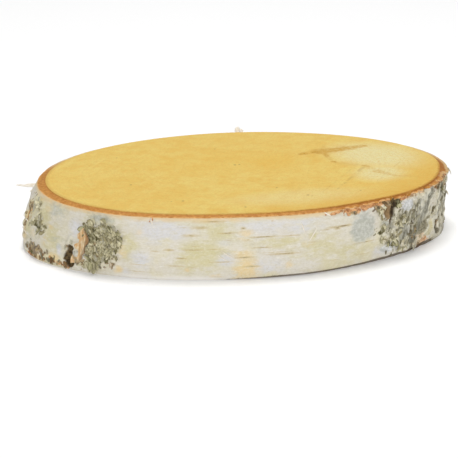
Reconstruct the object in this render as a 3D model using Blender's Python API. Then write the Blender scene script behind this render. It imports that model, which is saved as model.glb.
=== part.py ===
# Birch wood slice: one straight cross-cut of a slightly oval birch trunk, bark still on.
# It is one solid. Its foot and its top are sawn flat, and its side wall is the bark, which
# swells where an old branch sat and hollows a little under the opposite top edge.
# Metres, +Z up. The origin is the middle of the sawn foot.
import math

import bmesh
import bpy

THICKNESS = 0.031
WOOD_RADIUS = 0.0858
# The middle of the growth outline lies beside the origin, because the branch swelling
# reaches further out on -X than the bark does on +X.
TRUNK_MIDDLE = (0.0024, -0.0003)
# Each lobe of the outline: how many times it goes round, its height, and its direction.
TRUNK_LOBES = ((2, 0.0124, 16.0), (3, 0.0008, -7.0), (4, 0.0014, 20.0), (5, 0.0005, 9.0))

# The sawn end of the bark, seen from above as a narrow rim that slopes down outwards.
RIM_WIDTH_AT_ENDS = 0.0040
RIM_WIDTH_AT_FLANKS = 0.0023
RIM_DROP = 0.0012

# The swelling of the old branch: its direction, half its spread and its reach at the foot.
BRANCH_DIRECTION = 197.0
BRANCH_SPREAD = 36.0
BRANCH_REACH = 0.0081
BRANCH_ROUNDING = 2.3
# The hollow under the rim on the other side.
HOLLOW_DIRECTION = 318.0
HOLLOW_SPREAD = 80.0
HOLLOW_DEPTH = 0.0015

# Swollen, cracked bark: direction, spread, height up the wall, half its height, thickness.
BARK_SWELLINGS = (
    (206.0, 9.0, 0.62, 0.50, 0.0012),
    (222.0, 11.0, 0.45, 0.60, 0.0015),
    (312.0, 9.0, 0.55, 0.55, 0.0011),
    (334.0, 12.0, 0.50, 0.60, 0.0016),
    (48.0, 12.0, 0.45, 0.55, 0.0013),
    (118.0, 10.0, 0.55, 0.60, 0.0012),
)

SEGMENTS = 176
# Heights of the rings of points up the bark, as parts of the wall from foot to rim.
WALL_LEVELS = (0.0, 0.13, 0.29, 0.45, 0.61, 0.77, 0.90, 1.0)
SMOOTH_BELOW = math.radians(38.0)

BARK_COLOUR = (0.77, 0.74, 0.68, 1.0)
SAWN_WOOD_COLOUR = (0.80, 0.56, 0.22, 1.0)
BARK_ROUGHNESS = 0.75
SAWN_WOOD_ROUGHNESS = 0.6
SAWN_SLOT = 1


def turned_away(angle, direction):
    """Smallest angle between two directions, in degrees."""
    return abs((math.degrees(angle) - direction + 180.0) % 360.0 - 180.0)


def swell(distance, spread):
    """1 in the middle of a swelling, falling smoothly to 0 at its spread."""
    return 0.0 if distance >= spread else math.cos(0.5 * math.pi * distance / spread) ** 2


def wood_radius(angle):
    """Edge of the sawn wood, from the middle of the trunk."""
    lobes = sum(
        height * math.cos(count * (angle - math.radians(direction)))
        for count, height, direction in TRUNK_LOBES
    )
    return WOOD_RADIUS + lobes


def rim_width(angle):
    middle = 0.5 * (RIM_WIDTH_AT_ENDS + RIM_WIDTH_AT_FLANKS)
    swing = 0.5 * (RIM_WIDTH_AT_ENDS - RIM_WIDTH_AT_FLANKS)
    return middle + swing * math.cos(2.0 * angle)


def wall_radius(angle, level):
    """Outside of the bark at a part of the wall's height, 0 at the foot and 1 at the rim."""
    branch = swell(turned_away(angle, BRANCH_DIRECTION), BRANCH_SPREAD)
    hollow = swell(turned_away(angle, HOLLOW_DIRECTION), HOLLOW_SPREAD)
    below_rim = 1.0 - level**BRANCH_ROUNDING
    swollen = sum(
        thickness
        * swell(turned_away(angle, direction), spread)
        * swell(abs(level - height), half_height)
        for direction, spread, height, half_height, thickness in BARK_SWELLINGS
    )
    lean = (BRANCH_REACH * branch - HOLLOW_DEPTH * hollow) * below_rim
    return wood_radius(angle) + rim_width(angle) + lean + swollen


def ring_of_points(mesh, radius_at, height):
    points = []
    for step in range(SEGMENTS):
        angle = math.tau * step / SEGMENTS
        radius = radius_at(angle)
        x = TRUNK_MIDDLE[0] + radius * math.cos(angle)
        y = TRUNK_MIDDLE[1] + radius * math.sin(angle)
        points.append(mesh.verts.new((x, y, height)))
    return points


def slice_mesh():
    """The closed slice: sawn foot, bark wall, sloping sawn rim and sawn top."""
    mesh = bmesh.new()
    wall_height = THICKNESS - RIM_DROP
    rings = [
        ring_of_points(mesh, lambda angle: wall_radius(angle, level), level * wall_height)
        for level in WALL_LEVELS
    ]
    rings.append(ring_of_points(mesh, wood_radius, THICKNESS))
    for lower, upper in zip(rings, rings[1:]):
        for step in range(SEGMENTS):
            after = (step + 1) % SEGMENTS
            mesh.faces.new((lower[step], lower[after], upper[after], upper[step]))
    foot = mesh.faces.new(reversed(rings[0]))
    top = mesh.faces.new(rings[-1])
    foot.material_index = SAWN_SLOT
    top.material_index = SAWN_SLOT
    for face in mesh.faces:
        face.smooth = True

    data = bpy.data.meshes.new("birch_slice")
    mesh.to_mesh(data)
    mesh.free()
    data.set_sharp_from_angle(angle=SMOOTH_BELOW)
    return data


def finish(name, colour, roughness):
    material = bpy.data.materials.new(name)
    material.use_nodes = True
    shader = material.node_tree.nodes["Principled BSDF"]
    shader.inputs["Base Color"].default_value = colour
    shader.inputs["Roughness"].default_value = roughness
    shader.inputs["Metallic"].default_value = 0.0
    material.diffuse_color = colour
    return material


def make_slice():
    data = slice_mesh()
    data.materials.append(finish("birch_bark", BARK_COLOUR, BARK_ROUGHNESS))
    data.materials.append(finish("sawn_birch", SAWN_WOOD_COLOUR, SAWN_WOOD_ROUGHNESS))
    birch_slice = bpy.data.objects.new("birch_slice", data)
    bpy.context.scene.collection.objects.link(birch_slice)


for old in list(bpy.data.objects):
    bpy.data.objects.remove(old, do_unlink=True)
make_slice()
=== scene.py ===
import itertools
import math

import bpy
import numpy as np
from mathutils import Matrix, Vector


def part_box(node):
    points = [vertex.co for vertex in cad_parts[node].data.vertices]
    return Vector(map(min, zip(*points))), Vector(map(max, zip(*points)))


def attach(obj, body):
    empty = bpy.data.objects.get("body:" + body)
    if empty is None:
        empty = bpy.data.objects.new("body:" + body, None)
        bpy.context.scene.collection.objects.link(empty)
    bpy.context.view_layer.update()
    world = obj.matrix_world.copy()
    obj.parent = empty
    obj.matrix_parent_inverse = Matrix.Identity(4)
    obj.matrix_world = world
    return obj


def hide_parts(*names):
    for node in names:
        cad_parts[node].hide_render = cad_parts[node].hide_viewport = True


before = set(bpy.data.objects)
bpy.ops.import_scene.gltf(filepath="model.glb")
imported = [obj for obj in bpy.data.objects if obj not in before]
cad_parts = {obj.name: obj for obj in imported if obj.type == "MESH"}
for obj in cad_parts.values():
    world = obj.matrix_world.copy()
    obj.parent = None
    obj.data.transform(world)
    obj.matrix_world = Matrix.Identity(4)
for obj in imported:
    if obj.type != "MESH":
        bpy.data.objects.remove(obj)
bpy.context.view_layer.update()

# The view. The slice lies on a white table in front of a long lens, seen from a hand's width
# above the table, under a wide soft light from above that leaves only a thin contact shadow.
CAMERA_PLACE = (-0.0047, -0.7830, 0.2468)
CAMERA_DIP = 17.5
LENS = 128.3

camera_data = bpy.data.cameras.new("camera")
camera_data.lens = LENS
camera_data.sensor_width = 36.0
camera = bpy.data.objects.new("camera", camera_data)
camera.location = CAMERA_PLACE
camera.rotation_euler = (math.radians(90.0 - CAMERA_DIP), 0.0, 0.0)
bpy.context.scene.collection.objects.link(camera)
bpy.context.scene.camera = camera
bpy.context.scene.view_settings.view_transform = "Standard"

world = bpy.data.worlds.new("white_room")
world.use_nodes = True
world.node_tree.nodes["Background"].inputs["Color"].default_value = (1.0, 1.0, 1.0, 1.0)
world.node_tree.nodes["Background"].inputs["Strength"].default_value = 0.30
bpy.context.scene.world = world


def soft_light(name, place, aim, size, power):
    light = bpy.data.lights.new(name, "AREA")
    light.shape = "SQUARE"
    light.size = size
    light.energy = power
    lamp = bpy.data.objects.new(name, light)
    lamp.location = place
    lamp.rotation_euler = (Vector(aim) - Vector(place)).to_track_quat("-Z", "Y").to_euler()
    bpy.context.scene.collection.objects.link(lamp)


soft_light("overhead_softbox", (0.03, 0.38, 2.28), (0.0, 0.0, 0.0), 0.86, 34.2)
soft_light("front_softbox", (0.15, -2.5, 0.9), (0.0, 0.0, 0.02), 1.2, 26.5)

bpy.ops.mesh.primitive_plane_add(size=6.0, location=(0.0, 0.0, 0.0))
table = bpy.context.object
table.name = "white_table"
table_paint = bpy.data.materials.new("white_table")
table_paint.use_nodes = True
table_shader = table_paint.node_tree.nodes["Principled BSDF"]
table_shader.inputs["Base Color"].default_value = (0.86, 0.86, 0.86, 1.0)
table_shader.inputs["Roughness"].default_value = 0.9
table_shader.inputs["Emission Color"].default_value = (1.0, 1.0, 1.0, 1.0)
table_shader.inputs["Emission Strength"].default_value = 0.17
table.data.materials.append(table_paint)

# A white screen stands round the table, and only the camera sees it.
bpy.ops.mesh.primitive_cylinder_add(
    vertices=96, radius=1.5, depth=3.0, end_fill_type="NOTHING", location=(0.0, 0.0, 1.45)
)
screen = bpy.context.object
screen.name = "white_screen"
screen_paint = bpy.data.materials.new("white_screen")
screen_paint.use_nodes = True
screen_shader = screen_paint.node_tree.nodes["Principled BSDF"]
screen_shader.inputs["Base Color"].default_value = (0.0, 0.0, 0.0, 1.0)
screen_shader.inputs["Specular IOR Level"].default_value = 0.0
screen_shader.inputs["Emission Color"].default_value = (1.0, 1.0, 1.0, 1.0)
screen_shader.inputs["Emission Strength"].default_value = 1.0
screen.data.materials.append(screen_paint)
screen.visible_diffuse = False
screen.visible_glossy = False
screen.visible_transmission = False
screen.visible_shadow = False

# The bark. It is the white skin of the birch, grown on the wood and sawn through with it, so it
# shows a papery outside, a narrow orange-brown sawn rim on top and the same rim on the foot.
# It is one closed band: a fine sheet rolled round the trunk and folded over foot and rim.
MM = 0.001
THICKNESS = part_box("birch_slice")[1].z
WOOD_RADIUS = 0.0858
TRUNK_MIDDLE = np.array((0.0024, -0.0003))
TRUNK_LOBES = ((2, 0.0124, 16.0), (3, 0.0008, -7.0), (4, 0.0014, 20.0), (5, 0.0005, 9.0))
RIM_WIDTH_AT_ENDS = 0.0040
RIM_WIDTH_AT_FLANKS = 0.0023
RIM_DROP = 0.0012
BRANCH_DIRECTION, BRANCH_SPREAD, BRANCH_REACH, BRANCH_ROUNDING = 197.0, 36.0, 0.0081, 2.3
HOLLOW_DIRECTION, HOLLOW_SPREAD, HOLLOW_DEPTH = 318.0, 80.0, 0.0015
EDGE_DIRECTION, EDGE_SPREAD, EDGE_REACH = 337.0, 27.0, 0.0022

FOOT_BEVEL = 0.0004
INNER_LAP = 0.0004

COLUMNS = 1200
FOOT_ROWS, WALL_ROWS, RIM_ROWS = 3, 62, 8
SECTION_ROWS = FOOT_ROWS + WALL_ROWS + RIM_ROWS + 1


def signed_turn(angle, direction):
    """Angle from a direction, between -180 and 180 degrees."""
    return (np.degrees(angle) - direction + 180.0) % 360.0 - 180.0


def swell(angle, direction, spread):
    """1 in the direction of a swelling, falling smoothly to 0 at its spread."""
    distance = abs(signed_turn(angle, direction))
    return np.where(distance < spread, np.cos(0.5 * np.pi * distance / spread) ** 2, 0.0)


def wood_radius(angle):
    lobes = sum(
        height * np.cos(count * (angle - math.radians(direction)))
        for count, height, direction in TRUNK_LOBES
    )
    return WOOD_RADIUS + lobes


def rim_width(angle):
    middle = 0.5 * (RIM_WIDTH_AT_ENDS + RIM_WIDTH_AT_FLANKS)
    swing = 0.5 * (RIM_WIDTH_AT_ENDS - RIM_WIDTH_AT_FLANKS)
    return middle + swing * np.cos(2.0 * angle)


def sawn_edge(angle):
    """Edge of the sawn top, where the rim of bark is narrower on the near right."""
    return wood_radius(angle) + EDGE_REACH * swell(angle, EDGE_DIRECTION, EDGE_SPREAD)


def wall_radius(angle, level):
    """Outside of the plain bark at a part of its height, 0 at the foot and 1 at the rim."""
    branch = swell(angle, BRANCH_DIRECTION, BRANCH_SPREAD)
    hollow = swell(angle, HOLLOW_DIRECTION, HOLLOW_SPREAD)
    lean = (BRANCH_REACH * branch - HOLLOW_DEPTH * hollow) * (1.0 - level**BRANCH_ROUNDING)
    return wood_radius(angle) + rim_width(angle) + lean


def wood_foot_radius(angle):
    """Edge of the wood at the foot, where one side of the trunk leans in under the top."""
    hollow = swell(angle, HOLLOW_DIRECTION, HOLLOW_SPREAD)
    return wood_radius(angle) - HOLLOW_DEPTH * hollow


def on_trunk(angle, radius, up):
    """Points at a radius from the middle of the trunk, at a height."""
    x = TRUNK_MIDDLE[0] + radius * np.cos(angle)
    y = TRUNK_MIDDLE[1] + radius * np.sin(angle)
    return np.stack((x, y, up), axis=-1)


def in_millimetres(angle, radius, height):
    """Places for the noises, in millimetres from the middle of the trunk."""
    return np.stack((radius * np.cos(angle) / MM, radius * np.sin(angle) / MM, height), axis=1)


def cell_value(cell):
    """One value from 0 to 1 for each cell of a grid, the same on every run."""
    mixed = cell[:, 0] * 73856093 ^ cell[:, 1] * 19349663 ^ cell[:, 2] * 83492791
    mixed = (mixed ^ (mixed >> 13)) * 1274126177 & 0x7FFFFFFF
    return ((mixed ^ (mixed >> 15)) & 0xFFFF) / 65535.0


def mottle(places, size, seed):
    """Smooth noise from 0 to 1 with blobs of about one size."""
    scaled = places / size + 31.7 * seed
    cell = np.floor(scaled)
    part = scaled - cell
    part = part * part * (3.0 - 2.0 * part)
    cell = cell.astype(np.int64)
    total = np.zeros(len(places))
    for corner in itertools.product((0, 1), repeat=3):
        weight = np.prod(np.where(corner, part, 1.0 - part), axis=1)
        total += weight * cell_value(cell + np.array(corner))
    return total


def crumbs(places, size, seed):
    """Rounded crumbs of about one size: 1 on the top of each crumb, 0 in the gaps between."""
    scaled = places / size + 17.3 * seed
    cell = np.floor(scaled).astype(np.int64)
    nearest = np.full(len(places), 9.0)
    second = np.full(len(places), 9.0)
    for corner in itertools.product((-1, 0, 1), repeat=3):
        home = cell + np.array(corner)
        spot = home + np.stack(
            [cell_value(home + np.array((7 * k, 3 * k, 5 * k))) for k in (1, 2, 3)], axis=1
        )
        reach = np.linalg.norm(scaled - spot, axis=1)
        second = np.minimum(second, np.maximum(nearest, reach))
        nearest = np.minimum(nearest, reach)
    return np.clip((second - nearest) * 1.6, 0.0, 1.0)


def smooth_step(value, low, high):
    part = np.clip((value - low) / (high - low), 0.0, 1.0)
    return part * part * (3.0 - 2.0 * part)


# Patches on the bark: direction in degrees, height, half length round the trunk and half
# height in millimetres, lean of the patch in degrees, and strength.
LICHEN = (
    (227.6, 17, 6.4, 7.6, 0, 1), (231.6, 19, 3.2, 3, 0, 0.8), (226.4, 24.4, 3.6, 2.4, 0, 0.56),
    (224.6, 24.2, 2.2, 2.2, 0, 0.6), (227.4, 11, 6, 4.8, -25, 0.95), (223.6, 5.2, 5, 2.6, -25, 0.9),
    (222.2, 21.6, 2, 2.2, 0, 0.9), (224.3, 13, 2.3, 9, 0, 0.95), (205.6, 16.4, 3.8, 2.4, 0, 0.8),
    (205, 18.6, 1.6, 1.4, 0, 0.8), (208.6, 14.8, 2.2, 0.9, -32, 0.8),
    (204, 24.4, 4.4, 2.2, 15, 0.7), (205.2, 4, 5.6, 2.5, -8, 0.5), (216.9, 4.6, 1.4, 3, 0, 0.7),
    (320.2, 15.2, 5.4, 4.8, 0, 0.5), (318, 14.2, 2.2, 1, -20, 0.7), (321.6, 11.8, 2.4, 1.2, 0, 0.7),
    (322.4, 17.8, 1.8, 1.4, 0, 0.7), (320.4, 25.4, 3.2, 2.4, 0, 0.7), (327.3, 27.7, 2.2, 2.2, 0, 1),
    (329.5, 18.6, 5, 2.6, 0, 0.85), (337, 11, 2.4, 6.5, 0, 0.85), (327, 11, 4, 4.5, 0, 0.7),
    (347.2, 17, 1.6, 4, 42, 0.7), (353.5, 26, 2.2, 3.2, 20, 0.9), (325.5, 7.6, 4.4, 2, 0, 0.7),
    (330.5, 3.6, 3, 1.6, 0, 0.7), (62, 14, 11, 9, 10, 1), (47, 22, 6, 5, 0, 0.8),
    (132, 9, 9, 7, 0, 0.9), (158, 20, 5, 5, 0, 0.7), (12, 8, 6, 5, 0, 0.8),
)
# Where the lichen is dark olive and not beige.
DARK_LICHEN = (
    (225.6, 25, 3, 2.6, 0, 0.7), (229.2, 22.4, 2.6, 2.6, 0, 0.7), (222.3, 21.5, 1.8, 2.2, 0, 1),
    (224.9, 19, 1, 4, 0, 0.9), (231.6, 19.6, 2.4, 1.6, 0, 0.5), (227.2, 7, 3, 1.4, -25, 1),
    (224.3, 5.6, 2, 2.6, 0, 0.7), (230, 12, 1.6, 1.6, 0, 0.6), (205.6, 16.4, 2.6, 1.6, 0, 0.9),
    (205, 4.2, 6.4, 3.4, 0, 1.3), (325.5, 7.6, 4.4, 2, 0, 0.9), (216.9, 4.6, 1.4, 3.6, 0, 0.9),
    (327.3, 27.7, 2.2, 2.2, 0, 1), (337, 10, 1.6, 6, 0, 0.9), (320, 15.2, 4, 4, 0, 0.9),
    (353.5, 26, 2.2, 3.2, 0, 1), (66, 18, 5, 5, 0, 1), (130, 6, 5, 3, 0, 1),
)
# Weathered bark that is furrowed up and down the trunk.
FURROWS = (
    (323.5, 25, 4, 5, 0, 0.7), (332.5, 14, 7.5, 10, 10, 0.8), (340, 16.5, 8, 17, 25, 1),
    (354, 21, 8, 8, 15, 0.8), (351, 8, 8, 9, 20, 0.62), (3, 14, 10, 15, 8, 1),
    (218.8, 8, 4, 7, 6, 0.3), (74, 16, 9, 15, 10, 1), (121, 15, 10, 14, -8, 0.9),
)
# Smooth grey plates of dead bark that stand between the furrows.
PLATES = (
    (336.8, 21.5, 3, 6, 25, 0.9), (332, 11, 2.2, 4.6, 10, 1), (352, 19, 1.4, 6, 30, 0.7),
    (357, 12, 1.6, 8, 30, 0.7), (220.4, 8, 1.9, 5, 4, 1), (224.7, 10, 1.1, 5, 0, 0.8),
    (70, 20, 1.8, 8, 12, 0.9), (79, 12, 2, 9, 12, 0.9), (118, 17, 2, 9, -10, 0.9),
)
# Places where the white skin has worn to a gritty grey and cream surface.
ROUGH = (
    (203, 15, 15, 17, 0, 0.62), (217, 14, 8, 14, 0, 0.5), (227.5, 14, 9, 14, 0, 0.9),
    (314.5, 19, 7, 8, 0, 0.9), (325, 15, 9, 14, 0, 1.4), (338, 15, 16, 18, 0, 1.4),
    (355, 15, 16, 18, 0, 1.2), (294, 19.4, 4, 5.6, 20, 0.8), (70, 15, 26, 18, 0, 1.3),
    (126, 14, 18, 16, 0, 1.2),
)
# Deep dark cracks: direction, lower and upper height, half width in millimetres, lean, depth.
CRACKS = (
    (217.7, 1, 12.4, 2.9, 4, 1), (325.3, 17.2, 30.5, 1.9, 3, 1), (321.9, 21.5, 29, 0.35, -3, 0.6),
    (351, 4.4, 12.4, 3.2, 4, 0.6), (334.6, 4, 18, 0.9, 6, 0.9), (345.6, 12.5, 24, 1, 36, 0.8),
    (344.6, 21, 28.5, 0.5, 30, 0.6), (338.4, 12, 24, 0.4, 35, 0.5), (356, 12, 26.5, 0.6, 30, 0.7),
    (329.4, 7, 15, 0.4, 6, 0.7), (359.5, 6, 22, 0.7, 15, 0.8), (75, 4, 24, 1.2, 10, 1),
    (68, 12, 28, 0.8, 5, 0.8), (122, 6, 22, 1.1, -10, 1),
)
# Smooth dark grey bands of old bark between the cracks, laid out like the cracks.
BANDS = (
    (340.6, 5, 29, 4.2, 35, 0.9), (352, 17, 28.5, 1.4, 30, 0.8), (351, 5, 12.2, 2.6, 4, 1),
    (331, 7.5, 16.5, 3, 8, 0.9), (337.6, 3, 14, 1.4, 30, 0.8), (325.6, 15, 19, 1.6, 0, 0.7),
    (3, 8, 26, 1.6, 20, 0.9), (71, 6, 26, 2, 10, 0.9),
)
# Rounded knobs that stand out of the bark.
KNOBS = (
    (196.5, 23, 3, 2.2, 0, 1.2), (195.5, 17.2, 3, 1.6, 0, 1.1), (195.5, 12.6, 3, 1.6, 0, 1.2),
    (196, 6.5, 3, 2, 0, 0.8), (199.5, 2.4, 3, 1.6, 0, 0.9), (187.5, 24.5, 3, 3, 0, 0.8),
    (206, 4, 3, 2.6, 0, 0.9), (219.5, 8, 1.6, 4.5, 4, 0.9), (2, 25, 2, 2.4, 0, 1),
    (350, 24.5, 1.8, 3, 0, 0.8),
)
# Colours of the papery skin: its bluish-white, grey, greenish and peach parts.
BLUE_WHITE = (
    (244, 24, 13, 7, 0, 1), (238, 9.5, 5, 5, 0, 0.9), (219.3, 20, 4.4, 5.4, 0, 1),
    (277.5, 25.5, 14, 4.5, 0, 0.7), (277, 6, 10, 4.5, 0, 0.8), (264, 9.5, 6, 3.6, 0, 0.9),
    (263, 17.5, 4, 3, 0, 0.5), (332.3, 24.9, 5.2, 4, 0, 1.7), (324.3, 6, 7.5, 3, 0, 1.6),
    (291, 24.5, 10, 5, 0, 0.8), (233, 3, 4, 2.5, 0, 0.6), (214.4, 8.6, 1.6, 3.6, -6, 1),
    (20, 18, 12, 8, 0, 0.9), (95, 20, 14, 8, 0, 0.9), (170, 10, 12, 8, 0, 0.8),
)
GREY_FILM = (
    (313.6, 19.4, 6.4, 7.4, 0, 1.8), (323, 19.5, 5, 3, 0, 0.5), (212, 26, 6, 4, 0, 0.7),
    (214, 12, 5, 4, 0, 0.5), (227, 26.5, 8, 4, 0, 0.8), (35, 20, 7, 6, 0, 0.8),
)
GREEN_TINT = (
    (256, 12, 14, 9, 0, 1), (262, 22.5, 8, 6.5, 0, 0.8), (283, 17, 12, 3, 0, 0.9),
    (297, 12, 16, 8, 0, 0.7), (294.2, 19, 2.4, 3, 0, 1.3), (200, 20, 6, 9, 0, 1),
    (212, 12, 7, 8, 0, 1), (226, 26, 13, 4, 0, 0.7), (235, 15, 4.5, 9, 0, 0.9),
    (308, 8.5, 12, 7, 0, 0.7), (202, 25, 9, 5, 0, 0.8), (200, 14, 5, 7, 0, 1),
    (207, 21, 6, 5, 0, 1.1), (346, 8.5, 3.6, 4.6, 0, 1.2), (40, 12, 12, 9, 0, 0.8),
    (110, 9, 14, 6, 0, 0.8),
)
PEACH = (
    (269.5, 12, 5, 4, 0, 0.6), (270.6, 4.6, 6.4, 6.2, 0, 0.95), (270.5, 21.5, 3.8, 3, 0, 0.6),
    (237.8, 22.8, 2.2, 2.4, 0, 0.5), (231.5, 3.2, 2.2, 2.8, 0, 0.9), (292.5, 17, 3.5, 4, 0, 0.4),
    (285.6, 5.9, 2.6, 2.2, 0, 0.5), (260.5, 2, 3.5, 1, 0, 0.7), (251.5, 5, 1.2, 1.2, 0, 0.5),
    (246.6, 14.6, 2, 1.2, 0, 0.6), (323, 10.5, 3.5, 1.5, 0, 0.8), (232.5, 13, 2.5, 4, 0, 0.6),
    (197.3, 18, 3, 6, 0, 0.9), (197.5, 9, 3, 5, 0, 0.9), (206, 1.6, 8, 1.8, 0, 0.9),
    (241, 14, 1, 1, 0, 0.5), (212.5, 4, 3.6, 3, 0, 0.9), (209, 11, 1.5, 2.6, 0, 0.5),
    (203.6, 12.4, 2.6, 2, 0, 0.6), (208.6, 25.4, 3.6, 1.6, 0, 0.6), (210.6, 18.2, 2.2, 1.4, 0, 0.5),
    (203, 27.5, 2.4, 1.4, 0, 0.6), (332.5, 6, 3, 2, 0, 0.7), (345.5, 8.5, 2.2, 3, 0, 0.4),
    (30, 6, 5, 4, 0, 0.8), (86, 9, 4, 8, 0, 0.8), (150, 23, 4, 4, 0, 0.8),
)
# Places where the white skin is torn off and the orange-brown inner bark shows.
TORN = (
    (200.2, 20.8, 1.8, 3, 0, 0.8), (197.8, 17, 1.2, 4, 0, 0.6), (212.4, 2.4, 5.4, 1.4, 4, 0.8),
    (203, 0.9, 9, 0.8, 0, 0.8), (302.5, 28.8, 5.6, 1, 0, 0.9), (309.4, 28.3, 6, 1.6, 0, 1),
    (314.5, 28.7, 5, 1.1, 0, 0.9), (320, 29, 5, 1, 0, 0.9), (340.6, 4, 6, 3, 8, 1.9),
    (333, 29.2, 8, 0.9, 0, 0.8), (345, 28.8, 9, 1.3, 0, 0.9), (355, 28.8, 9, 1.3, 0, 0.9),
    (216.4, 1.6, 3, 1, 0, 0.8), (241.3, 27.8, 0.9, 2, 0, 0.7), (66, 4, 5, 3, 0, 0.9),
    (125, 27, 6, 1.6, 0, 0.9),
)
# Umber stain, where the bark is soaked or its outer layers are gone.
BROWN = (
    (205, 4.2, 7, 3.4, -8, 1.2), (212.5, 2, 5, 1.8, 0, 0.7), (217.3, 5.4, 2, 6.4, 4, 1.15),
    (197.8, 21, 3.2, 6.5, 0, 0.9), (197, 12, 1.8, 6, 0, 0.6), (220.8, 5, 3, 3.4, 0, 1),
    (225.6, 11, 2.2, 5.5, 0, 0.9), (229, 6, 3, 2.4, 0, 0.6), (322.9, 24.8, 2.3, 5, 0, 1.4),
    (318.6, 27.2, 2.6, 1.5, 0, 1), (309.5, 27.2, 3.6, 0.9, 0, 0.9), (336.6, 8, 1.8, 5, 0, 0.7),
    (340.6, 2.2, 4, 1.2, 8, 0.5), (351, 8.4, 2.4, 3.8, 0, 1.3), (349, 27.8, 5, 1.5, 0, 0.9),
    (357, 26.6, 3.4, 2.4, 0, 1), (2, 28, 3, 1.5, 0, 0.9), (75, 12, 4, 9, 10, 0.8),
    (122, 12, 3.4, 8, -10, 0.8),
)
# The brown plate beside the open crack is bare of lichen and scales.
BROWN_PLATE = ((322.8, 25, 2.1, 4.6, 0, 1),)
# Along the first arc the foot edge of the bark stands just off the table and is painted dark as the
# shade under it; along the second its lowest part is painted pale as light from the white table.
DARK_FOOT_FROM, DARK_FOOT_TO = 252.0, 352.0
PALE_FOOT_FROM, PALE_FOOT_TO = 230.0, 262.0
UNDERCUT = 1.5
FOOT_LIFT = 0.00015
# Where weathered ridges begin, how far they lean further on, and where the top edge is chipped.
RIDGES_FROM = 330.0
RIDGE_LEAN = 43.0
CHIPPED_FROM = (296.0, 312.0)


def patch_cover(patches, angle, height):
    """How deep each point lies inside the listed patches: 1 well inside, fading to 0."""
    cover = np.zeros(len(angle))
    local_radius = wood_radius(angle) / MM
    for direction, middle, half_length, half_height, lean, strength in patches:
        along = np.radians(signed_turn(angle, direction)) * local_radius
        above = height - middle
        turn = math.radians(lean)
        across = (along * math.cos(turn) - above * math.sin(turn)) / half_length
        upward = (along * math.sin(turn) + above * math.cos(turn)) / half_height
        cover = np.maximum(cover, strength * np.clip(1.35 - np.hypot(across, upward), 0.0, 1.0))
    return cover


def break_up(cover, noise, low=0.42, high=0.70):
    """Dissolves the edge of a soft patch into separate spots."""
    return smooth_step(1.15 * cover + 2.1 * (noise - 0.5), low, high) * (cover > 0.0)


def crack_cover(cracks, angle, height, wander):
    cover = np.zeros(len(angle))
    local_radius = wood_radius(angle) / MM
    for direction, low, high, half_width, lean, depth in cracks:
        middle = 0.5 * (low + high)
        slope = math.tan(math.radians(lean))
        along = np.radians(signed_turn(angle, direction)) * local_radius
        offset = along - slope * (height - middle) + 1.6 * (wander - 0.5)
        taper = np.clip(1.0 - ((height - middle) / (0.5 * (high - low))) ** 2, 0.0, 1.0) ** 0.5
        width = half_width * taper + 1e-6
        inside = np.clip(1.15 - abs(offset) / width, 0.0, 1.0) * (taper > 0.0)
        cover = np.maximum(cover, depth * smooth_step(inside, 0.0, 0.8))
    return cover


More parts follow.
